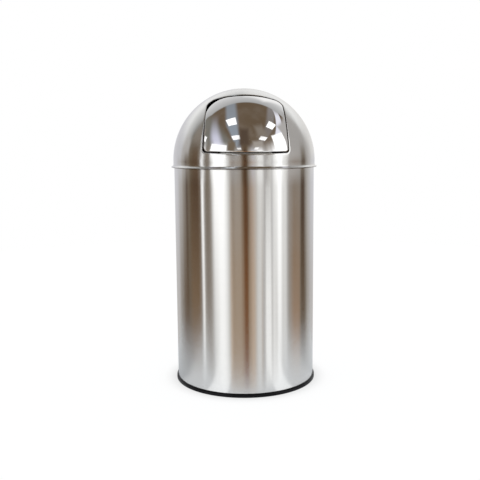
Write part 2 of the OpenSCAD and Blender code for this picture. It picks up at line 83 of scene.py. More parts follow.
# ---- The room that the steel reflects ----
# A white studio for the eye and for matt surfaces. Polished surfaces see a room in front of
# the bin: upright windows and walls, a brown ceiling with square lights, and a pale backdrop.
def add_node(tree, kind, inputs=None, **settings):
    """Adds a shader node. inputs gives each socket a value, or another node's output."""
    new = tree.nodes.new("ShaderNode" + kind)
    for name, value in settings.items():
        setattr(new, name, value)
    for socket, value in (inputs or {}).items():
        if isinstance(value, bpy.types.NodeSocket):
            tree.links.new(value, new.inputs[socket])
        else:
            new.inputs[socket].default_value = value
    return new


def calculate(tree, operation, *values):
    """The output of a Math node."""
    return add_node(tree, "Math", dict(enumerate(values)), operation=operation).outputs[0]


def fade(tree, value, start, end, low=0.0, high=1.0):
    """Goes smoothly from low at start to high at end."""
    inputs = {"Value": value, "From Min": start, "From Max": end, "To Min": low, "To Max": high}
    return add_node(tree, "MapRange", inputs, interpolation_type="SMOOTHSTEP").outputs[0]


def mix_colour(tree, factor, a, b, blend="MIX"):
    """The output of a colour Mix node; a and b are colours or sockets."""
    inputs = {0: factor, 6: a, 7: b}
    return add_node(tree, "Mix", inputs, data_type="RGBA", blend_type=blend).outputs[2]


def grey(tree, tone):
    """A colour with three equal channels."""
    return add_node(tree, "CombineColor", {0: tone, 1: tone, 2: tone}).outputs[0]


def window(tree, x, y, x_range, y_range, edge):
    """1 inside a rectangle of two coordinates and 0 outside it, with a soft edge."""
    past = []
    for value, (low, high) in ((x, x_range), (y, y_range)):
        off = calculate(tree, "ABSOLUTE", calculate(tree, "SUBTRACT", value, (low + high) / 2))
        past.append(calculate(tree, "SUBTRACT", off, (high - low) / 2))
    return fade(tree, calculate(tree, "MAXIMUM", *past), 0.0, edge, 1.0, 0.0)


white = (1.6, 1.6, 1.6, 1)
bright = (1.24, 1.235, 1.23, 1)
pale = (1.05, 1.04, 1.03, 1)
light_grey = (0.86, 0.845, 0.83, 1)
lilac = (0.93, 0.93, 1.02, 1)
cool_grey = (0.72, 0.715, 0.75, 1)
ash = (0.72, 0.69, 0.65, 1)
soft_grey = (0.59, 0.565, 0.55, 1)
stone = (0.61, 0.53, 0.46, 1)
mid_grey = (0.50, 0.48, 0.465, 1)
warm_grey = (0.41, 0.37, 0.33, 1)
putty = (0.33, 0.285, 0.245, 1)
taupe = (0.265, 0.225, 0.185, 1)
umber = (0.195, 0.15, 0.105, 1)
sepia = (0.165, 0.11, 0.07, 1)
brown = (0.09, 0.05, 0.026, 1)
dark_brown = (0.062, 0.031, 0.018, 1)
chestnut = (0.27, 0.18, 0.11, 1)
sand = (0.65, 0.49, 0.36, 1)
tan = (0.48, 0.35, 0.24, 1)
leather = (0.41, 0.27, 0.175, 1)
rust = (0.27, 0.115, 0.045, 1)
ceiling_brown = (0.15, 0.106, 0.068, 1)
shadow_brown = (0.105, 0.072, 0.05, 1)
haze = (0.72, 0.72, 0.86, 1)
olive_grey = (0.215, 0.205, 0.18, 1)
strip_blue = (0.32, 0.36, 0.41, 1)
strip_grey = (0.34, 0.33, 0.34, 1)

# The upright bands round the room, by azimuth from the front, where negative is the left:
# the tone above the steel's level, level with it, and low down, where a wooden floor warms it.
bands_on_left = [
    (-160, cool_grey, cool_grey, soft_grey), (-143, cool_grey, cool_grey, soft_grey),
    (-133, cool_grey, soft_grey, putty), (-127, cool_grey, soft_grey, taupe),
    (-120, soft_grey, warm_grey, sepia), (-114, mid_grey, taupe, sepia),
    (-110, putty, dark_brown, sepia), (-105, taupe, umber, umber),
    (-97, umber, brown, chestnut), (-90, sepia, dark_brown, chestnut),
    (-83, sepia, dark_brown, chestnut), (-77, putty, sepia, putty),
    (-75, cool_grey, white, soft_grey), (-72.7, pale, white, white), (-70.7, bright, soft_grey, ash),
    (-68.7, soft_grey, taupe, warm_grey), (-65, taupe, umber, putty), (-60, putty, taupe, putty),
    (-57, soft_grey, warm_grey, warm_grey), (-54, bright, pale, soft_grey),
    (-51, white, white, light_grey), (-46, white, white, pale), (-42, white, white, bright),
    (-36, white, white, bright), (-31, bright, bright, pale), (-27, light_grey, light_grey, ash),
    (-23.5, soft_grey, warm_grey, sand), (-20.5, mid_grey, taupe, tan),
    (-15, mid_grey, warm_grey, tan), (-8.5, warm_grey, warm_grey, tan), (-4, sepia, sepia, leather),
    (-1, brown, dark_brown, rust),
]
bands_on_right = [
    (0, brown, dark_brown, rust), (3, umber, dark_brown, rust), (5, warm_grey, brown, tan),
    (7.5, mid_grey, leather, tan), (10.5, cool_grey, leather, sand), (13.5, cool_grey, stone, sand),
    (17.5, light_grey, stone, ash), (20, bright, ash, light_grey),
    (24, bright, light_grey, light_grey), (26.5, bright, light_grey, stone),
    (28.5, light_grey, light_grey, mid_grey),
    (30.5, soft_grey, mid_grey, soft_grey), (34, mid_grey, mid_grey, bright),
    (37, ash, mid_grey, bright), (40, light_grey, mid_grey, bright), (42.5, light_grey, mid_grey, pale),
    (43.8, light_grey, cool_grey, soft_grey), (45.5, bright, light_grey, pale),
    (52, white, bright, light_grey), (55, white, white, bright), (59, white, white, bright),
    (62, bright, pale, light_grey), (69, ash, pale, light_grey), (72, soft_grey, mid_grey, soft_grey),
    (76, soft_grey, putty, warm_grey), (86, soft_grey, umber, leather),
    (99.5, mid_grey, taupe, leather), (104.5, taupe, dark_brown, umber), (111, taupe, dark_brown, sepia),
    (118, mid_grey, warm_grey, umber), (125, soft_grey, soft_grey, warm_grey),
    (140, light_grey, cool_grey, soft_grey),
]
# Elevations, in degrees, between which one tone gives way to the next
level_to_below = (-2.0, -14.0)
level_to_above = (-2.5, 1.5)
bands_to_ceiling = (8.0, 31.0)
bands_to_upper = (2.0, 6.0)
low_pane = ((33.5, 40), (-40, -6), 1.5)  # azimuths, elevations and edge of a bright low pane

# Places on the ceiling are on a plane one unit up: how far to the right, and how far away. A
# fade has the values where it starts and ends, and how strong it is at each.
clouds = (0.4, 0.75, 0.0, 0.25)  # of the noise that makes the ceiling patchy
paler_to_right = (0.5, 2.2, 0.0, 0.7)
greyer_to_left = (-0.55, -0.95)
overhead = (-0.7, 0.3)  # a strip's place and strength change between far off and overhead
strips = [  # middle and strength far off, middle and strength overhead, tone
    (-0.345, 1.0, -0.235, 0.8, strip_blue), (0.775, 0.4, 0.57, 0.65, strip_grey),
]
strip_half, strip_edge, strip_narrows = 0.09, 0.14, 0.4
strip_near, strip_far = 0.6, -9.0
strip_splay, splay_from = 0.06, -0.4  # further off than this, the strips draw apart
beams = [  # start, direction, width and its growth, ends, edge, where it gains strength, tone
    (Vector((-0.78, -0.16)), Vector((-0.555, -0.832)), 0.025, 0.042, (-0.1, 2.5), 6.0,
     (-0.45, 1.0), haze),
    (Vector((0.71, 0.25)), Vector((0.62, -0.79)), 0.06, 0.11, (0.15, 1.0), 0.4,
     (-1.0, -0.9), lilac),
]
ceiling_lights = [  # from left to right, and from far to near
    ((-0.44, -0.225), (-0.545, -0.305)), ((-0.535, -0.235), (-1.42, -1.15)),
    ((-0.63, -0.345), (-3.05, -2.6)), ((0.655, 0.89), (-0.53, -0.265)),
    ((0.66, 0.97), (-1.38, -1.11)), ((0.76, 1.04), (-3.05, -2.46)),
]
light_edge = 0.03
backdrop_hem = (0.27, 0.06)  # how far behind the bin it starts, and its lean to the right
backdrop_hem_on_left = -0.325
backdrop_tones = (0.46, 0.6, 1.08)  # at its hem, gained for each unit past it, and at most

side_windows = [  # azimuths, elevations, tone, softness of the edge
    ((77, 122), (14, 42), mid_grey, 6), ((-100, -87), (24, 34), putty, 7),
    ((-27, -20), (15, 27), umber, 6), ((-5, 2), (30, 46), shadow_brown, 11),
    ((17, 27), (25, 27), warm_grey, 7), ((30, 36), (43, 48), taupe, 12),
    ((150, 170), (42, 52), pale, 12), ((-56.5, -33), (7, 22.3), white, 3),
    ((52, 72.5), (9, 34), white, 3), ((-80, -73.5), (25.5, 30), white, 2),
    ((-116, -106), (9, 18), soft_grey, 6),
]

world = bpy.data.worlds.new("room")
world.use_nodes = True
world.cycles.sampling_method = "NONE"
bpy.context.scene.world = world
room = world.node_tree
room.nodes.clear()

direction = add_node(room, "TexCoord").outputs["Generated"]
across, away, upward = add_node(room, "SeparateXYZ", {0: direction}).outputs
turn = calculate(room, "ARCTAN2", across, calculate(room, "MULTIPLY", away, -1.0))
azimuth = calculate(room, "DEGREES", turn)
elevation = calculate(room, "DEGREES", calculate(room, "ARCSINE", upward))
height = calculate(room, "MAXIMUM", upward, 0.02)
ceiling_x = calculate(room, "DIVIDE", across, height)
ceiling_y = calculate(room, "DIVIDE", away, height)
round_room = calculate(room, "DIVIDE", calculate(room, "ADD", azimuth, 180.0), 360.0)


def band_ramps(tree, bands):
    """Three colour ramps round the room, above, level and below, with a stop for each band."""
    for tone in (1, 2, 3):
        ramp = add_node(tree, "ValToRGB", {0: round_room})
        stops = ramp.color_ramp.elements
        while len(stops) < len(bands):
            stops.new(0.5)
        for stop, band in zip(stops, bands):
            stop.position = (band[0] + 180) / 360
            stop.color = band[tone]
        yield ramp.outputs[0]


on_right = calculate(room, "GREATER_THAN", azimuth, 0.0)
above, level, below = [
    mix_colour(room, on_right, left, right)
    for left, right in zip(band_ramps(room, bands_on_left), band_ramps(room, bands_on_right))
]
bands = mix_colour(room, fade(room, elevation, *level_to_below), level, below)
bands = mix_colour(room, window(room, azimuth, elevation, *low_pane), bands, bright)
bands = mix_colour(room, fade(room, elevation, *level_to_above), bands, above)

patchy = add_node(room, "TexNoise", {"Vector": direction, "Scale": 2.2, "Detail": 3.0})
paler = calculate(room, "ADD", fade(room, patchy.outputs[0], *clouds),
                  fade(room, ceiling_x, *paler_to_right))
ceiling = mix_colour(room, paler, ceiling_brown, putty)
ceiling = mix_colour(room, fade(room, ceiling_x, *greyer_to_left), ceiling, olive_grey)
# two pale strips run over the ceiling towards the camera, and carry its square lights
nearing = fade(room, ceiling_y, *overhead)
further = calculate(room, "MAXIMUM", calculate(room, "SUBTRACT", splay_from, ceiling_y), 0.0)
for middle, faint, middle_overhead, faint_overhead, tone in strips:
    drift = calculate(room, "MULTIPLY", nearing, middle_overhead - middle)
    drift = calculate(room, "MULTIPLY_ADD", further, math.copysign(strip_splay, middle), drift)
    beside = calculate(room, "SUBTRACT", calculate(room, "SUBTRACT", ceiling_x, drift), middle)
    narrowed = calculate(room, "MULTIPLY_ADD", nearing, -strip_narrows, 1.0)
    inside = window(room, calculate(room, "DIVIDE", beside, narrowed), ceiling_y,
                    (-strip_half, strip_half), (strip_far, strip_near), strip_edge)
    strength = calculate(room, "MULTIPLY_ADD", nearing, faint_overhead - faint, faint)
    ceiling = mix_colour(room, calculate(room, "MULTIPLY", inside, strength), ceiling, tone)
# a slanting pale beam runs from beside each side window to the backdrop
for start, slant, start_width, growth, ends, edge, gain, tone in beams:
    x, y = [calculate(room, "SUBTRACT", value, place)
            for value, place in zip((ceiling_x, ceiling_y), start)]
    along, aside = [
        calculate(room, "MULTIPLY_ADD", x, share_x, calculate(room, "MULTIPLY", y, share_y))
        for share_x, share_y in (slant, (-slant.y, slant.x))
    ]
    width = calculate(room, "MAXIMUM", along, 0.0)
    width = calculate(room, "MULTIPLY_ADD", width, growth, start_width)
    inside = window(room, calculate(room, "DIVIDE", aside, width), along, (-1.0, 1.0), ends, edge)
    strength = calculate(room, "MULTIPLY", inside, fade(room, along, *gain))
    ceiling = mix_colour(room, strength, ceiling, tone)
for lefts_rights, fars_nears in ceiling_lights:
    inside = window(room, ceiling_x, ceiling_y, lefts_rights, fars_nears, light_edge)
    ceiling = mix_colour(room, inside, ceiling, white)
# the backdrop hangs behind the bin and comes forward over it
backdrop_edge = calculate(
    room, "MAXIMUM", calculate(room, "MULTIPLY_ADD", ceiling_x, backdrop_hem[1], backdrop_hem[0]),
    calculate(room, "MULTIPLY", ceiling_x, backdrop_hem_on_left),
)
past_edge = calculate(room, "SUBTRACT", ceiling_y, backdrop_edge)
dimmest, gain, brightest = backdrop_tones
backdrop_tone = calculate(room, "MULTIPLY_ADD", past_edge, gain, dimmest)
backdrop = grey(room, calculate(room, "MINIMUM", backdrop_tone, brightest))
ceiling = mix_colour(room, fade(room, past_edge, -light_edge, light_edge), ceiling, backdrop)
upper = mix_colour(room, fade(room, elevation, *bands_to_ceiling), bands, ceiling)
for azimuths, elevations, tone, softness in side_windows:
    inside = window(room, azimuth, elevation, azimuths, elevations, softness)
    upper = mix_colour(room, inside, upper, tone)
seen_in_steel = mix_colour(room, fade(room, elevation, *bands_to_upper), bands, upper)
ray = add_node(room, "LightPath").outputs
polished = calculate(room, "MAXIMUM", ray["Is Glossy Ray"], ray["Is Transmission Ray"])
seen = mix_colour(room, polished, (1, 1, 1, 1), seen_in_steel)
background = add_node(room, "Background", {"Color": seen})
world_out = add_node(room, "OutputWorld")
room.links.new(background.outputs[0], world_out.inputs["Surface"])


# ---- Floor ----
# A plain white floor. Steel sees it only close to the bin, and further to the sides than in
# front, so that the tube's foot fades to pale grey and the rest of the tube reflects the room.
floor_radius = 2.5
seen_fully = 0.19  # as far as this in front
seen_at_sides = (0.08, 0.88)  # the floor fades out between these distances to the sides
fades_in_front = 0.14
sunlit = ((-37, -21), (29, 43))  # azimuths at which light from the windows lies on the floor
sun_strength, sun_edge = 0.9, 4.0
shaded = ((-68.0, -84.0, 0.6), (75.0, 95.0, 0.35))  # azimuths it darkens between, and how much
contact_reach = 0.06  # how far the bin's shadow reaches
contact_fade = (0.2, 0.95, 0.62, 1.02)  # from hidden to open floor, and how bright each is
floor_tone = (0.82, 0.87, 0.93, 1)
evened_for_camera, evened_for_steel = 0.93, 0.4  # the floor's share of light that is its own

floor_mesh = bmesh.new()
bmesh.ops.create_circle(floor_mesh, cap_ends=True, segments=96, radius=floor_radius)
floor_data = bpy.data.meshes.new("floor")
floor_mesh.to_mesh(floor_data)
floor_mesh.free()
floor = bpy.data.objects.new("floor", floor_data)
bpy.context.scene.collection.objects.link(floor)

floor_finish = bpy.data.materials.new("white_floor")
floor_finish.use_nodes = True
tree = floor_finish.node_tree
tree.nodes.clear()
position = add_node(tree, "TexCoord").outputs["Object"]
ray = add_node(tree, "LightPath").outputs
across, away, _ = add_node(tree, "SeparateXYZ", {0: position}).outputs
in_front = calculate(tree, "SUBTRACT", calculate(tree, "ABSOLUTE", away), seen_fully)
in_front = calculate(tree, "DIVIDE", calculate(tree, "MAXIMUM", in_front, 0.0), -fades_in_front)
share_seen = calculate(
    tree, "MINIMUM", calculate(tree, "EXPONENT", in_front),
    fade(tree, calculate(tree, "ABSOLUTE", across), *seen_at_sides, 1.0, 0.0),
)
unseen = calculate(tree, "MULTIPLY", calculate(tree, "SUBTRACT", 1.0, share_seen),
                   ray["Is Glossy Ray"])
contact = add_node(tree, "AmbientOcclusion", {"Distance": contact_reach}, samples=8)
shade = fade(tree, contact.outputs["AO"], *contact_fade)
around = calculate(tree, "ARCTAN2", across, calculate(tree, "MULTIPLY", away, -1.0))
around = calculate(tree, "DEGREES", around)
sun = calculate(tree, "ADD", *[
    window(tree, around, around, azimuths, azimuths, sun_edge) for azimuths in sunlit
])
dim = calculate(tree, "ADD", *[
    fade(tree, around, start, end, 0.0, -depth) for start, end, depth in shaded
])
sun = calculate(tree, "MULTIPLY", ray["Is Glossy Ray"],
                calculate(tree, "MULTIPLY_ADD", sun, sun_strength, dim))
strength = calculate(tree, "ADD", shade, sun)
lit = add_node(tree, "Emission", {"Color": (1, 1, 1, 1), "Strength": strength})
matt = add_node(tree, "BsdfDiffuse", {"Color": floor_tone})
clear = add_node(tree, "BsdfTransparent")
evened = calculate(tree, "MULTIPLY", ray["Is Glossy Ray"], evened_for_steel)
evened = calculate(tree, "MULTIPLY_ADD", ray["Is Camera Ray"], evened_for_camera, evened)
ground = add_node(tree, "MixShader", {0: evened, 1: matt.outputs[0], 2: lit.outputs[0]})
whole = add_node(tree, "MixShader", {0: unseen, 1: ground.outputs[0], 2: clear.outputs[0]})
tree.links.new(whole.outputs[0], add_node(tree, "OutputMaterial").inputs["Surface"])
floor_data.materials.append(floor_finish)


# ---- Tube ----
# Satin stainless sheet, rolled to a tube with a lapped seam down the back and a curled mouth.
# It was brushed round and round, which draws its reflections out into upright bands.
tube_low, tube_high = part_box("body_shell")
tube_r = tube_high.x
tube_foot, tube_top = tube_low.z, tube_high.z
sheet = 0.8 * MM
hem_r = 1.8 * MM
seam_width = 9 * MM
seam_foot = 10 * MM
seam_rise = tube_high.y - tube_r
seam_bite = 0.3 * MM  # how deep the seam's strip sits in the wall
steel_tone = 0.70
grain_contrast = 0.015
steel_warmth = 0.985  # blue's share of the steel's tone
# painted shadow: the dark brown put on the underside of the dome's rim, as the shade in the gap above
# the tube
painted_rim_shadow = (0.07, 0.045, 0.03, 1)


def arc_points(centre_r, centre_z, radius, start, end, steps):
    """Points of a section along an arc, in degrees from the outward direction."""
    angles = [math.radians(start + (end - start) * i / steps) for i in range(steps + 1)]
    return [(centre_r + radius * math.cos(a), centre_z + radius * math.sin(a)) for a in angles]


def turned(section, closed=False, steps=256, start=0.0, angle=2 * math.pi):
    """A bmesh made by turning a section of (radius, height) points about the bin's axis."""
    mesh = bmesh.new()
    at = Matrix.Rotation(start, 3, "Z")
    verts = [mesh.verts.new(at @ Vector((r, 0, z))) for r, z in section]
    pairs = list(zip(verts, verts[1:])) + ([(verts[-1], verts[0])] if closed else [])
    edges = [mesh.edges.new(pair) for pair in pairs]
    whole = angle >= 2 * math.pi
    bmesh.ops.spin(
        mesh, geom=verts + edges, cent=(0, 0, 0), axis=(0, 0, 1), angle=angle, steps=steps,
        use_merge=whole,
    )
    if closed and not whole:
        bmesh.ops.holes_fill(mesh, edges=mesh.edges[:])
    bmesh.ops.remove_doubles(mesh, verts=mesh.verts[:], dist=1e-7)
    bmesh.ops.recalc_face_normals(mesh, faces=mesh.faces[:])
    return mesh


def give_wall(mesh, inside_point, thickness):
    """Turns an open sheet so that most of it faces away from inside_point, and gives it its
    thickness on the other side."""
    votes = sum((f.calc_center_median() - inside_point).dot(f.normal) * f.calc_area()
                for f in mesh.faces)
    if votes < 0:
        bmesh.ops.reverse_faces(mesh, faces=mesh.faces[:])
    bmesh.ops.solidify(mesh, geom=mesh.faces[:], thickness=thickness)


def round_off(mesh, width, sharper_than, segments=2):
    """Bevels every edge whose faces meet at more than an angle."""
    sharp = [e for e in mesh.edges
             if e.is_manifold and e.calc_face_angle() > math.radians(sharper_than)]
    bmesh.ops.bevel(
        mesh, geom=sharp, offset=width, offset_type="OFFSET", affect="EDGES",
        segments=segments, profile=0.5, material=-1, clamp_overlap=True,
    )


def make_piece(name, mesh, material, sharp_angle=35):
    """Makes a bmesh an object with smooth faces and sharp creases."""
    data = bpy.data.meshes.new(name)
    mesh.to_mesh(data)
    mesh.free()
    data.shade_smooth()
    data.set_sharp_from_angle(angle=math.radians(sharp_angle))
    data.materials.append(material)
    piece = bpy.data.objects.new(name, data)
    bpy.context.scene.collection.objects.link(piece)
    return piece


def add_sockets(group, ins, outs):
    """Gives a node group its named inputs, with their values, and its outputs."""
    for name, kind, value in ins:
        socket = group.interface.new_socket(name, in_out="INPUT", socket_type="NodeSocket" + kind)
        if value is not None:
            socket.default_value = value
    for name in outs:
        group.interface.new_socket(name, in_out="OUTPUT", socket_type="NodeSocketFloat")


# Brushed grain: fine streaks that run across the vector's third axis, and cloudy patches
grain = bpy.data.node_groups.new("Brushed grain", "ShaderNodeTree")
add_sockets(
    grain,
    [("Vector", "Vector", None), ("Length", "Float", 6.0), ("Fineness", "Float", 900.0)],
    ["Streak", "Patches"],
)
ends = add_node(grain, "CombineXYZ")
group_in = grain.nodes.new("NodeGroupInput")
group_out = grain.nodes.new("NodeGroupOutput")
for axis, name in enumerate(("Length", "Length", "Fineness")):
    grain.links.new(group_in.outputs[name], ends.inputs[axis])
stretched = add_node(
    grain, "VectorMath", {0: group_in.outputs["Vector"], 1: ends.outputs[0]},
    operation="MULTIPLY",
)
streak = add_node(grain, "TexNoise", {"Vector": stretched.outputs[0], "Scale": 1.0,
                                      "Detail": 4.0, "Roughness": 0.6})
patches = add_node(grain, "TexNoise", {"Vector": group_in.outputs["Vector"], "Scale": 9.0,
                                       "Detail": 3.0, "Roughness": 0.5})
grain.links.new(streak.outputs[0], group_out.inputs["Streak"])
grain.links.new(patches.outputs[0], group_out.inputs["Patches"])


def new_finish(name, **values):
    """A material with one Principled BSDF; the plain values go on its own sockets."""
    finish = bpy.data.materials.new(name)
    finish.use_nodes = True
    tree = finish.node_tree
    shader = tree.nodes["Principled BSDF"]
    for socket, value in values.items():
        shader.inputs[socket.replace("_", " ")].default_value = value
    return finish, tree, shader


def connect(tree, shader, colour, roughness, height=None, strength=0.0, depth=0.0):
    """Links a colour and a roughness to the shader, and a bump where it has a height."""
    tree.links.new(colour, shader.inputs["Base Color"])
    tree.links.new(roughness, shader.inputs["Roughness"])
    if height is not None:
        bump = add_node(tree, "Bump", {"Strength": strength, "Distance": depth, "Height": height})
        tree.links.new(bump.outputs[0], shader.inputs["Normal"])


def brushed(name, tone, roughness, dome_middle=None, rim_underside_shade=None):
    """Satin steel, brushed round the bin's axis. On the dome, whose middle has a height, the
    grain follows its rings. The last argument is a radius and a height, outside and below which
    a shadow is painted dark on the steel, as the shade under the rim."""
    finish, tree, shader = new_finish(
        name, Metallic=1.0, Anisotropic=1.0, Anisotropic_Rotation=0.25,
    )
    vector = add_node(tree, "TexCoord").outputs["Object"]
    if dome_middle is not None:
        x, y, z = add_node(tree, "SeparateXYZ", {0: vector}).outputs
        flat = add_node(tree, "CombineXYZ", {0: x, 1: y}).outputs[0]
        out = add_node(tree, "VectorMath", {0: flat}, operation="LENGTH").outputs["Value"]
        up = calculate(tree, "SUBTRACT", z, dome_middle)
        slope = calculate(tree, "MULTIPLY", calculate(tree, "ARCTAN2", up, out), tube_r)
        vector = add_node(tree, "CombineXYZ", {0: x, 1: y, 2: slope}).outputs[0]
    marks = add_node(tree, "Group", node_tree=grain)
    tree.links.new(vector, marks.inputs["Vector"])
    light = fade(tree, marks.outputs["Streak"], 0.3, 0.7,
                 tone * (1 - grain_contrast), tone * (1 + grain_contrast))
    warm = calculate(tree, "MULTIPLY", light, steel_warmth)
    shown = add_node(tree, "CombineColor", {0: light, 1: light, 2: warm}).outputs[0]
    # paint the rim's underside dark, as the shadow in the gap between the rim and the tube
    if rim_underside_shade is not None:
        beyond, below = rim_underside_shade
        shaded_underside = calculate(tree, "MULTIPLY", fade(tree, out, beyond, beyond + MM),
                          fade(tree, z, below + 0.2 * MM, below - 0.4 * MM))
        shown = mix_colour(tree, shaded_underside, shown, painted_rim_shadow)
    satin = fade(tree, marks.outputs["Patches"], 0.3, 0.7,
                 roughness - grain_contrast, roughness + grain_contrast)
    connect(tree, shader, shown, satin, marks.outputs["Streak"], 0.012, 0.2 * MM)
    return finish


tube_steel = brushed("tube_steel", steel_tone, roughness=0.14)
rings_up_tube = 12
tube_path = [(tube_r, tube_foot + (tube_top - hem_r - tube_foot) * i / rings_up_tube)
             for i in range(rings_up_tube)]
tube_path += arc_points(tube_r - hem_r, tube_top - hem_r, hem_r, 0, 270, 15)
tube_mesh = turned(tube_path)
give_wall(tube_mesh, Vector((0, 0, tube_top / 2)), sheet)
half_seam = seam_width / 2 / tube_r
seam = turned(
    [(tube_r - seam_bite, seam_foot), (tube_r + seam_rise, seam_foot),
     (tube_r + seam_rise, tube_top - 2 * hem_r), (tube_r - seam_bite, tube_top - 2 * hem_r)],
    closed=True, steps=4, start=math.pi / 2 - half_seam, angle=2 * half_seam,
)
round_off(seam, 0.2 * MM, 60)
seam_data = bpy.data.meshes.new("seam")
seam.to_mesh(seam_data)
seam.free()
tube_mesh.from_mesh(seam_data)
tube = make_piece("tube", tube_mesh, tube_steel)
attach(tube, "body")
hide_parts("body_shell")


# ---- Floor plate ----
# The bin's bottom: a galvanised disc with a turned-down edge and one pressed bead, fixed
# inside the foot of the tube.
plate_low, plate_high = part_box("base_plate")
plate_r = plate_high.x
plate_top = 15 * MM
plate_corner = 5 * MM
bead_r, bead_h = 108 * MM, 4 * MM
bead_foot = 4 * MM  # the flat beside the bead
inner_steps = 192  # pieces that seldom show have fewer steps round them than the tube
under_floor = Vector((0, 0, -0.1))

# Spangle: the flat crystals of a zinc coat, each a little lighter or darker
spangle = bpy.data.node_groups.new("Spangle", "ShaderNodeTree")
add_sockets(spangle, [("Vector", "Vector", None), ("Scale", "Float", 90.0)],
            ["Crystal", "Cloud"])
group_in = spangle.nodes.new("NodeGroupInput")
group_out = spangle.nodes.new("NodeGroupOutput")
wander = add_node(spangle, "TexNoise", {"Vector": group_in.outputs["Vector"], "Scale": 60.0})
bent = add_node(spangle, "VectorMath",
                {0: wander.outputs["Color"], 1: (0.004,) * 3, 2: group_in.outputs["Vector"]},
                operation="MULTIPLY_ADD")
cells = add_node(spangle, "TexVoronoi", {"Vector": bent.outputs[0]})
spangle.links.new(group_in.outputs["Scale"], cells.inputs["Scale"])
shade_of_cell = add_node(spangle, "SeparateColor", {0: cells.outputs["Color"]})
cloud = add_node(spangle, "TexNoise", {"Vector": group_in.outputs["Vector"], "Scale": 14.0,
                                       "Detail": 4.0})
spangle.links.new(shade_of_cell.outputs[0], group_out.inputs["Crystal"])
spangle.links.new(cloud.outputs[0], group_out.inputs["Cloud"])


def zinc_coated(name, dark, light, scale, roughness, **values):
    """A zinc coat: spangled colour, with a roughness that changes from patch to patch."""
    finish, tree, shader = new_finish(name, Metallic=1.0, **values)
    coat = add_node(tree, "Group", node_tree=spangle)
    coat.inputs["Scale"].default_value = scale
    tree.links.new(add_node(tree, "TexCoord").outputs["Object"], coat.inputs["Vector"])
    colour = mix_colour(tree, coat.outputs["Crystal"], dark, light)
    dull = fade(tree, coat.outputs["Cloud"], 0.3, 0.7, 0.82, 1.06)
    shaded = mix_colour(tree, 1.0, colour, dull, "MULTIPLY")
    rough = fade(tree, coat.outputs["Cloud"], 0.25, 0.75, roughness - 0.06, roughness + 0.08)
    connect(tree, shader, shaded, rough, coat.outputs["Crystal"], 0.08, 0.3 * MM)
    return finish


galvanised = zinc_coated("galvanised_sheet", (0.44, 0.46, 0.48, 1), (0.66, 0.68, 0.70, 1),
                         scale=110.0, roughness=0.42)
bead = arc_points(bead_r, plate_top - sheet, bead_h, 180, 0, 12)
plate_path = [(0, plate_top), (bead_r - bead_h - bead_foot, plate_top)]
plate_path += [p for p in bead if p[1] >= plate_top - sheet * 0.5]
plate_path += [(bead_r + bead_h + bead_foot, plate_top)]
plate_path += arc_points(plate_r - plate_corner, plate_top - plate_corner, plate_corner, 90, 0, 8)
plate_path += [(plate_r, plate_low.z)]
plate_mesh = turned(plate_path, steps=inner_steps)
give_wall(plate_mesh, under_floor, sheet)
floor_plate = make_piece("floor_plate", plate_mesh, galvanised)
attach(floor_plate, "body")
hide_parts("base_plate")


# ---- Foot ring ----
# A black plastic ring with a slight shine, moulded with a groove that the tube stands in.
# Its upper edge is rounded.
ring_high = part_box("base_ring")[1]
seat = 0.1 * MM  # between two pieces that are fixed to each other
ring_r = ring_high.x
ring_h = 9 * MM
ring_lip = ring_r - tube_r - seat
groove_floor = tube_foot - seat
leg_t = 2.4 * MM
leg_out = plate_r - sheet - seat
leg_in = leg_out - leg_t


def moulded(name, colour, roughness, grain_scale, grain_strength, **values):
    """Moulded plastic or rubber: a fine even grain, and faint scuffs that dull the shine."""
    finish, tree, shader = new_finish(name, **values)
    vector = add_node(tree, "TexCoord").outputs["Object"]
    fine = add_node(tree, "TexNoise", {"Vector": vector, "Scale": grain_scale, "Detail": 2.0})
    scuff = add_node(tree, "TexNoise", {"Vector": vector, "Scale": 38.0, "Detail": 6.0,
                                        "Roughness": 0.7})
    worn = fade(tree, scuff.outputs[0], 0.45, 0.75)
    lighter = tuple(min(1.0, c * 1.5 + 0.002) for c in colour[:3]) + (1,)
    dull = fade(tree, worn, 0.0, 1.0, roughness, min(1.0, roughness + 0.14))
    connect(tree, shader, mix_colour(tree, worn, colour, lighter), dull, fine.outputs[0],
            grain_strength, 0.2 * MM)
    return finish


gloss_black = moulded("gloss_black_plastic", (0.004, 0.004, 0.005, 1), roughness=0.3,
                      grain_scale=900.0, grain_strength=0.05, Specular_IOR_Level=0.12)
ring_section = [(leg_in, 0), (ring_r, 0)]
ring_section += arc_points(ring_r - ring_lip, ring_h - ring_lip, ring_lip, 0, 90, 8)
ring_section += [(tube_r + seat, groove_floor), (leg_out, groove_floor),
                 (leg_out, ring_high.z), (leg_in, ring_high.z)]
ring_mesh = turned(ring_section, closed=True)
round_off(ring_mesh, 0.45 * MM, 60, segments=3)
foot_ring = make_piece("foot_ring", ring_mesh, gloss_black)
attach(foot_ring, "body")
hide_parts("base_ring")


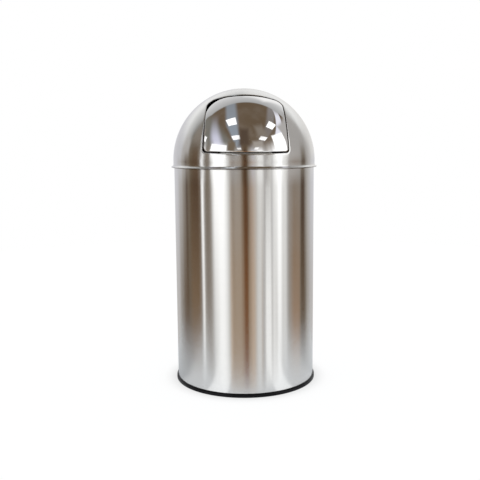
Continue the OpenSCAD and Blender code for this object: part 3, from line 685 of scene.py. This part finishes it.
# ---- Dome ----
# One spun sheet of satin stainless: a half sphere, a short skirt and a flared rim. The
# opening for the flap is cut in its front, with its edge rolled over and folded inwards.
dome_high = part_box("dome_shell")[1]
equator_z = 557 * MM
dome_centre = Vector((0, 0, equator_z))
dome_r = dome_high.z - equator_z
rim_inset = 0.1 * MM
rim_r = dome_high.x - rim_inset
rim_bead_r = 1.3 * MM
shadow_from_wall = 1.5 * MM  # how far outside the dome's wall the painted shadow under the rim starts
flare_r = 5.3 * MM
flare_z = 549 * MM
door_tilt = math.radians(34.5)
door_half_w = 96.2 * MM
door_lean = math.radians(4.4)
door_up = 82.5 * MM
door_down = dome_r * math.sin(door_tilt) - 17 * MM
sill_r = 260 * MM
corner_top_r = 25 * MM
corner_low_r = 11 * MM
head_steps, top_steps, side_steps, low_steps, sill_steps = 24, 20, 40, 16, 32
fold_depth = 8 * MM
edge_roll = 4.2 * MM  # how far the opening's rolled edge reaches over the dome
lip_depth = 1.6 * MM
roll_steps = 5
cut_askew = Matrix.Rotation(math.radians(-0.8), 2)  # the opening's small turn in the dome
rings_on_dome = 52
on_door = Matrix.Translation(dome_centre) @ Matrix.Rotation(math.pi / 2 - door_tilt, 4, "X")


def half_outline(inset, half_w=door_half_w, corner_top_r=corner_top_r, corner_low_r=corner_low_r,
                 lean=door_lean, up=door_up, down=door_down, sill_r=sill_r):
    """The right half of the opening's outline, taken in by inset, from the middle of the head
    down to the middle of the sill."""
    lean_c, lean_s, lean_t = math.cos(lean), math.sin(lean), math.tan(lean)
    sill_c = sill_r - down
    top = Vector((half_w - corner_top_r / lean_c - (up - corner_top_r) * lean_t,
                  up - corner_top_r))
    low_a = half_w - corner_low_r / lean_c
    low_b = low_a * lean_t + sill_c
    low_q = sill_r - corner_low_r
    low_y = (low_b - math.sqrt(low_b ** 2 - (1 + lean_t ** 2)
                               * (low_a ** 2 + sill_c ** 2 - low_q ** 2))) / (1 + lean_t ** 2)
    low = Vector((low_a - low_y * lean_t, low_y))
    low_angle = math.atan2(low.y - sill_c, low.x)

    def arc(centre, radius, start, end, steps):
        angles = [start + (end - start) * i / steps for i in range(1, steps + 1)]
        return [centre + radius * Vector((math.cos(a), math.sin(a))) for a in angles]

    def line(start, end, steps):
        return [start.lerp(end, i / steps) for i in range(1, steps + 1)]

    middle = Vector((0, up - inset))
    half = [middle] + line(middle, Vector((top.x, up - inset)), head_steps)
    half += arc(top, corner_top_r - inset, math.pi / 2, lean, top_steps)
    half += line(half[-1], low + (corner_low_r - inset) * Vector((lean_c, lean_s)), side_steps)
    half += arc(low, corner_low_r - inset, lean, low_angle, low_steps)
    return half + arc(Vector((0, sill_c)), sill_r - inset, low_angle, -math.pi / 2, sill_steps)


def whole_outline(inset, on_left={}, on_right={}):
    """The outline, clockwise from the middle of the head; its halves may have their own sizes."""
    left_half = half_outline(inset, **on_left)
    return half_outline(inset, **on_right) + [Vector((-p.x, p.y)) for p in left_half[-2:0:-1]]


def on_sphere(point, radius):
    """The place over a point of the door's frame on a sphere about the dome's centre."""
    return Vector((point.x, point.y, math.sqrt(radius ** 2 - point.x ** 2 - point.y ** 2)))


def next_ring(mesh, ring, places):
    """Extrudes a closed ring of vertices once, and puts the new ring at the given places."""
    edges = [mesh.edges.get(pair) for pair in zip(ring, ring[1:] + ring[:1])]
    grown = bmesh.ops.extrude_edge_only(mesh, edges=edges)["geom"]
    fresh = {v for v in grown if isinstance(v, bmesh.types.BMVert)}
    new = [next(e.other_vert(v) for e in v.link_edges if e.other_vert(v) in fresh) for v in ring]
    for vert, place in zip(new, places):
        vert.co = place
    return new


def first_ring(mesh, places):
    """A closed ring of vertices and edges at the given places."""
    ring = [mesh.verts.new(p) for p in places]
    for pair in zip(ring, ring[1:] + ring[:1]):
        mesh.edges.new(pair)
    return ring


def rolled(start, corner, end, steps):
    """The rings of a rolled edge: each point follows a curve from start past corner to end."""
    for i in range(1, steps + 1):
        t = i / steps
        yield [a * (1 - t) ** 2 + b * 2 * t * (1 - t) + c * t * t
               for a, b, c in zip(start, corner, end)]


# the last argument paints a shadow on the underside of the rim
dome_steel = brushed("dome_steel", steel_tone, roughness=0.15, dome_middle=equator_z,
                     rim_underside_shade=(dome_r + shadow_from_wall, flare_z - flare_r - rim_bead_r))
hole = [cut_askew @ p for p in whole_outline(0)]
lip_foot = [on_sphere(p, dome_r - fold_depth) for p in hole]
corner = [on_sphere(p, dome_r) for p in hole]
lip_head = [p - Vector((0, 0, lip_depth)) for p in corner]
shoulder = [on_sphere(cut_askew @ p, dome_r) for p in whole_outline(-edge_roll)]
dome_mesh = bmesh.new()
ring = first_ring(dome_mesh, lip_foot)
ring = next_ring(dome_mesh, ring, [a.lerp(b, 0.5) for a, b in zip(lip_foot, lip_head)])
ring = next_ring(dome_mesh, ring, lip_head)
for places in rolled(lip_head, corner, shoulder, roll_steps):
    ring = next_ring(dome_mesh, ring, places)
up_y, up_z = math.cos(door_tilt), math.sin(door_tilt)  # the way up, in the door's frame
for step in range(1, rings_on_dome + 1):
    places = []
    for p in shoulder:
        heading = math.atan2(p.y, p.x)
        start = math.acos(p.z / dome_r)
        end = math.atan2(up_z, -up_y * math.sin(heading))  # where this line meets the equator
        a = start + (end - start) * step / rings_on_dome
        places.append(dome_r * Vector((math.sin(a) * math.cos(heading),
                                       math.sin(a) * math.sin(heading), math.cos(a))))
    ring = next_ring(dome_mesh, ring, places)
bmesh.ops.transform(dome_mesh, matrix=on_door, verts=dome_mesh.verts[:])
rim_section = [(dome_r, flare_z)]
rim_section += arc_points(rim_r, flare_z, flare_r, 180, 260, 8)[1:]
rim_section += arc_points(rim_r - rim_bead_r, flare_z - flare_r - rim_bead_r, rim_bead_r, 80, -150, 12)
for r, z in rim_section:
    places = [Vector((v.co.x, v.co.y, 0)).normalized() * r + Vector((0, 0, z)) for v in ring]
    ring = next_ring(dome_mesh, ring, places)
bmesh.ops.recalc_face_normals(dome_mesh, faces=dome_mesh.faces[:])
give_wall(dome_mesh, dome_centre, sheet)
dome = make_piece("dome", dome_mesh, dome_steel, sharp_angle=50)
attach(dome, "lid")
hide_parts("dome_shell")


# ---- Collar ----
# The stepped ring inside the lid's skirt, of the same sheet. It rests on the tube's mouth and
# its tapered end guides the lid in.
collar_low, collar_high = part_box("lid_collar")
collar_weld_r = collar_high.x
collar_play = 0.8 * MM
collar_r = tube_r - 2 * hem_r - collar_play
collar_taper = 2 * MM
lead_in = 4 * MM
rest_gap = 0.3 * MM
shelf_z = tube_top + rest_gap
collar_section = [
    (collar_weld_r, shelf_z), (collar_weld_r, collar_high.z),
    (collar_weld_r - sheet, collar_high.z), (collar_weld_r - sheet, shelf_z + sheet),
    (collar_r - sheet, shelf_z + sheet), (collar_r - sheet, collar_low.z + lead_in),
    (collar_r - sheet - collar_taper, collar_low.z), (collar_r - collar_taper, collar_low.z),
    (collar_r, collar_low.z + lead_in), (collar_r, shelf_z),
]
collar_mesh = turned(collar_section, closed=True)
round_off(collar_mesh, 0.25 * MM, 60)
collar = make_piece("collar", collar_mesh, dome_steel)
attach(collar, "lid")
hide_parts("lid_collar")


# ---- Hinge brackets ----
# Two arms of zinc-plated sheet, spot-welded inside the dome above the opening. Each has a foot
# bent to the dome's curve, a hole for the axle, and a tab that the spring's leg rests on.
zinc_plated = zinc_coated("zinc_plating", (0.50, 0.50, 0.47, 1), (0.60, 0.60, 0.58, 1),
                          scale=420.0, roughness=0.34)


def dress(node_name, finish):
    """Gives a CAD node a finish of its own."""
    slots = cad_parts[node_name].data.materials
    slots.clear()
    slots.append(finish)


for side in ("left", "right"):
    dress("hinge_bracket_" + side, zinc_plated)


# ---- Axle ----
# A bright drawn rod through the brackets and the flap's bushes, with its ends chamfered.
# Drawing leaves faint lines along it.
axle_low, axle_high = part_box("hinge_axle")
axle_r = 3 * MM
axle_half = axle_high.x
axle_centre = Vector((0, (axle_low.y + axle_high.y) / 2, (axle_low.z + axle_high.z) / 2))

drawn_rod, tree, shader = new_finish("drawn_rod", Metallic=1.0)
vector = add_node(tree, "TexCoord").outputs["Object"]
turned_vector = add_node(tree, "Mapping", {"Vector": vector, "Rotation": (0, math.pi / 2, 0)})
marks = add_node(tree, "Group", node_tree=grain)
marks.inputs["Length"].default_value = 700.0
marks.inputs["Fineness"].default_value = 20.0
tree.links.new(turned_vector.outputs[0], marks.inputs["Vector"])
tone = fade(tree, marks.outputs["Streak"], 0.3, 0.7, 0.55, 0.66)
satin = fade(tree, marks.outputs["Patches"], 0.3, 0.7, 0.18, 0.28)
connect(tree, shader, grey(tree, tone), satin)

axle_mesh = bmesh.new()
bmesh.ops.create_cone(axle_mesh, cap_ends=True, segments=48, radius1=axle_r, radius2=axle_r,
                      depth=2 * axle_half)
bmesh.ops.rotate(axle_mesh, matrix=Matrix.Rotation(math.pi / 2, 3, "Y"), verts=axle_mesh.verts[:])
bmesh.ops.translate(axle_mesh, vec=axle_centre, verts=axle_mesh.verts[:])
round_off(axle_mesh, 0.5 * MM, 60)
axle = make_piece("axle", axle_mesh, drawn_rod)
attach(axle, "lid")
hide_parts("hinge_axle")


# ---- Axle caps ----
# Black plastic caps, moulded with a blind hole and pushed on the axle's ends, outside the
# brackets, so that it can't slide out.
black_plastic = moulded("black_plastic", (0.018, 0.018, 0.02, 1), roughness=0.42,
                        grain_scale=1400.0, grain_strength=0.12)
for side in ("left", "right"):
    dress("axle_cap_" + side, black_plastic)


# ---- Torsion springs ----
# Five turns of oiled spring wire on the axle, one spring beside each bracket. One leg rests
# on the bracket's tab, the other pushes the flap shut; the turns wind up as the flap opens.
wire_r = 0.6 * MM
coil_turns = 5
coil_pitch = 1.75 * MM
coil_play = 1.1 * MM
coil_r = axle_r + wire_r + coil_play
coil_start = 55
coil_end = 45 + 360 * coil_turns
fixed_leg = 22 * MM
hinge_plate_t = 1.5 * MM
hinge_in_door = on_door.inverted() @ axle_centre
rings_in_turn = 28


def filmed(name, dark, light, scale, roughness):
    """Bare metal under a thin film that changes its tone and its shine from place to place."""
    finish, tree, shader = new_finish(name, Metallic=1.0)
    vector = add_node(tree, "TexCoord").outputs["Object"]
    film = add_node(tree, "TexNoise", {"Vector": vector, "Scale": scale, "Detail": 3.0}).outputs[0]
    connect(tree, shader, mix_colour(tree, film, dark, light), fade(tree, film, 0.3, 0.7, *roughness))
    return finish


oiled_wire = filmed("oiled_spring_wire", (0.20, 0.20, 0.21, 1), (0.36, 0.35, 0.34, 1),
                    scale=240.0, roughness=(0.24, 0.40))

for side, sign in (("left", -1), ("right", 1)):
    spring_low, spring_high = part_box("torsion_spring_" + side)
    outer_x = max(abs(spring_low.x), abs(spring_high.x)) - wire_r

    def on_coil(degrees):
        a = math.radians(degrees)
        return Vector((outer_x - coil_pitch * (degrees - coil_start) / 360,
                       hinge_in_door.y + coil_r * math.cos(a),
                       hinge_in_door.z + coil_r * math.sin(a)))

    def forwards(degrees):
        a = math.radians(degrees)
        return Vector((0, -math.sin(a), math.cos(a)))

    # the flap's leg ends just under the plate behind the flap
    reach = dome_r - sheet - hinge_plate_t - wire_r - 3 * seat
    root = on_coil(coil_end)
    run = root.dot(forwards(coil_end))
    flap_leg = math.sqrt(run ** 2 - root.length_squared + reach ** 2) - run
    steps = coil_turns * rings_in_turn
    path = [on_coil(coil_start) - fixed_leg * forwards(coil_start),
            on_coil(coil_start) - 2 * wire_r * forwards(coil_start)]
    path += [on_coil(coil_start + (coil_end - coil_start) * i / steps) for i in range(steps + 1)]
    path += [on_coil(coil_end) + 2 * wire_r * forwards(coil_end),
             on_coil(coil_end) + flap_leg * forwards(coil_end)]
    curve = bpy.data.curves.new("spring_path", "CURVE")
    curve.dimensions = "3D"
    curve.bevel_depth = wire_r
    curve.bevel_resolution = 3
    curve.use_fill_caps = True
    spline = curve.splines.new("POLY")
    spline.points.add(len(path) - 1)
    for point, place in zip(spline.points, path):
        place = on_door @ Vector((place.x * sign, place.y, place.z))
        point.co = (*place, 1)
    path_object = bpy.data.objects.new("spring_path", curve)
    spring_mesh = bmesh.new()
    spring_mesh.from_mesh(path_object.to_mesh())
    bpy.data.objects.remove(path_object)
    bmesh.ops.remove_doubles(spring_mesh, verts=spring_mesh.verts[:], dist=1e-6)
    bmesh.ops.recalc_face_normals(spring_mesh, faces=spring_mesh.faces[:])
    spring = make_piece("spring_" + side, spring_mesh, oiled_wire, sharp_angle=50)
    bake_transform(spring)
    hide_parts("torsion_spring_" + side)


# ---- Flap ----
# Stainless sheet pressed to the dome's curve, its edge folded inwards, and polished to a
# mirror. It hangs a hair askew in its opening, and the polish leaves the sheet faintly wavy.
flap_gap = 2.3 * MM
flap_fold = 5 * MM
flap_roll = 1.3 * MM
flap_ends = {"up": door_up - 2.8 * MM, "down": door_down - 1.8 * MM, "sill_r": 285 * MM}
flap_left = {"half_w": door_half_w + 1.2 * MM, "corner_top_r": 54 * MM, "corner_low_r": 15 * MM,
             "lean": door_lean - math.radians(1.4)}
flap_right = {"corner_top_r": 21 * MM, "corner_low_r": 11 * MM}
rings_on_flap = 26
askew = Matrix.Translation((0.3 * MM, 0, 0)) @ Matrix.Rotation(math.radians(-0.5), 4, "Z")

mirror_steel, tree, shader = new_finish("mirror_steel", Metallic=1.0)
vector = add_node(tree, "TexCoord").outputs["Object"]
smear = add_node(tree, "TexNoise", {"Vector": vector, "Scale": 24.0, "Detail": 5.0})
waves = add_node(tree, "TexNoise", {"Vector": vector, "Scale": 17.0, "Detail": 1.0})
tone = fade(tree, smear.outputs[0], 0.3, 0.7, 0.80, 0.84)
polish = fade(tree, smear.outputs[0], 0.35, 0.75, 0.03, 0.07)
connect(tree, shader, grey(tree, tone), polish, waves.outputs[0], 0.05, 2 * MM)

flap_sides = ({**flap_left, **flap_ends}, {**flap_right, **flap_ends})
edge = whole_outline(flap_gap, *flap_sides)
fold_end = [on_sphere(p, dome_r - flap_fold) for p in edge]
corner = [on_sphere(p, dome_r) for p in edge]
fold_head = [p - Vector((0, 0, flap_roll)) for p in corner]
shoulder = [on_sphere(p, dome_r) for p in whole_outline(flap_gap + flap_roll, *flap_sides)]
flap_mesh = bmesh.new()
ring = first_ring(flap_mesh, fold_end)
ring = next_ring(flap_mesh, ring, fold_head)
for places in rolled(fold_head, corner, shoulder, roll_steps):
    ring = next_ring(flap_mesh, ring, places)
for step in range(1, rings_on_flap):
    share = 1 - step / rings_on_flap
    ring = next_ring(flap_mesh, ring, [on_sphere(p * share, dome_r) for p in shoulder])
bmesh.ops.pointmerge(flap_mesh, verts=ring, merge_co=(0, 0, dome_r))
bmesh.ops.transform(flap_mesh, matrix=on_door @ askew, verts=flap_mesh.verts[:])
bmesh.ops.recalc_face_normals(flap_mesh, faces=flap_mesh.faces[:])
give_wall(flap_mesh, dome_centre, sheet)
flap = make_piece("flap", flap_mesh, mirror_steel, sharp_angle=50)
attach(flap, "flap")
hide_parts("flap_skin")


# ---- Hinge plate and stop bar ----
# Zinc-plated pressings, welded behind the flap: the plate's two ears hang on the axle, and
# the bar's lip meets the inside of the dome when the flap is shut.
dress("flap_hinge_plate", zinc_plated)
dress("flap_stop_bar", zinc_plated)


# ---- Bushes and buffers ----
# Natural nylon bushes, pressed into the ears of the hinge plate, which turn on the axle. Black
# rubber buffers, pushed through holes near the ends of the stop bar, soften its knock.
nylon = moulded("natural_nylon", (0.76, 0.75, 0.69, 1), roughness=0.38, grain_scale=700.0,
                grain_strength=0.05)
rubber = moulded("black_rubber", (0.022, 0.022, 0.022, 1), roughness=0.62, grain_scale=1100.0,
                 grain_strength=0.2)
for side in ("left", "right"):
    dress("flap_bush_" + side, nylon)
    dress("stop_buffer_" + side, rubber)


# ---- Bucket ----
# Galvanised sheet, rolled and tapered, with two swages pressed round it and its rim curled
# over a wire. The bottom is a separate recessed disc.
bucket_low, bucket_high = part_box("bucket_shell")
bucket_sheet = 0.6 * MM
bucket_top = bucket_high.z
bucket_foot = bucket_low.z
curl_r = 3.5 * MM
bucket_r = bucket_high.x - 2 * curl_r + bucket_sheet
bucket_taper = 2.5 * MM
swages_at = (0.22, 0.78)  # shares of the wall's height
swage_r = 3 * MM
swage_root = 1.05 * swage_r  # from the swage's middle to where its curve meets the wall
swage_run = 1.6 * swage_r  # and to where the wall is straight again
root_rise = 0.1 * MM
curl_start = 1.5 * MM
bottom_corner = 2 * MM
mid_bucket = Vector((0, 0, 0.25))
bucket_slope = bucket_taper / (bucket_top - curl_r - bucket_foot)


def bucket_wall(z):
    """The wall's outer radius at a height."""
    return bucket_r - bucket_taper + bucket_slope * (z - bucket_foot)


wall_path = [(bucket_wall(bucket_foot), bucket_foot)]
for share in swages_at:
    z = bucket_foot + share * (bucket_top - bucket_foot)
    wall_path += [(bucket_wall(z - swage_run), z - swage_run)]
    wall_path += [(bucket_wall(z - swage_root) + root_rise, z - swage_root)]
    wall_path += arc_points(bucket_wall(z) - bucket_sheet, z, swage_r, -72, 72, 12)
    wall_path += [(bucket_wall(z + swage_root) + root_rise, z + swage_root)]
    wall_path += [(bucket_wall(z + swage_run), z + swage_run)]
rim_centre = bucket_r - bucket_sheet + curl_r
inner_edge = bucket_top - curl_r - curl_start
wall_path += [(bucket_wall(inner_edge), inner_edge)]
wall_path += arc_points(rim_centre, bucket_top - curl_r, curl_r - bucket_sheet, 180, -90, 18)
bucket_mesh = turned(wall_path, steps=inner_steps)
give_wall(bucket_mesh, mid_bucket, bucket_sheet)
bucket = make_piece("bucket", bucket_mesh, galvanised)
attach(bucket, "bucket")
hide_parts("bucket_shell")

bottom_low, bottom_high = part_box("bucket_bottom")
bottom_path = [(0, bottom_high.z), (0.6 * bottom_high.x, bottom_high.z)]
bottom_path += arc_points(bottom_high.x - bottom_corner, bottom_high.z - bottom_corner,
                          bottom_corner, 90, 0, 6)
bottom_path += [(bottom_high.x, bottom_low.z)]
bottom_mesh = turned(bottom_path, steps=inner_steps)
give_wall(bottom_mesh, under_floor, bucket_sheet)
bucket_bottom = make_piece("bucket_floor", bottom_mesh, galvanised)
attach(bucket_bottom, "bucket")
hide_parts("bucket_bottom")
dress("rim_wire", galvanised)


# ---- Lugs and rivets ----
# Two pressed lugs of zinc-plated sheet hold the bail's ends. Each is fixed to the bucket's
# wall by two domed aluminium rivets.
for side in ("left", "right"):
    dress("bail_lug_" + side, zinc_plated)

aluminium = filmed("aluminium_rivets", (0.60, 0.60, 0.61, 1), (0.76, 0.76, 0.76, 1),
                   scale=320.0, roughness=(0.3, 0.44))
dress("lug_rivets", aluminium)


# ---- Bail ----
# A bent zinc-plated wire with headed ends, laid back on the bucket's rim, and a black
# plastic grip moulded over its middle.
dress("bail_wire", zinc_plated)
dress("bail_grip", black_plastic)
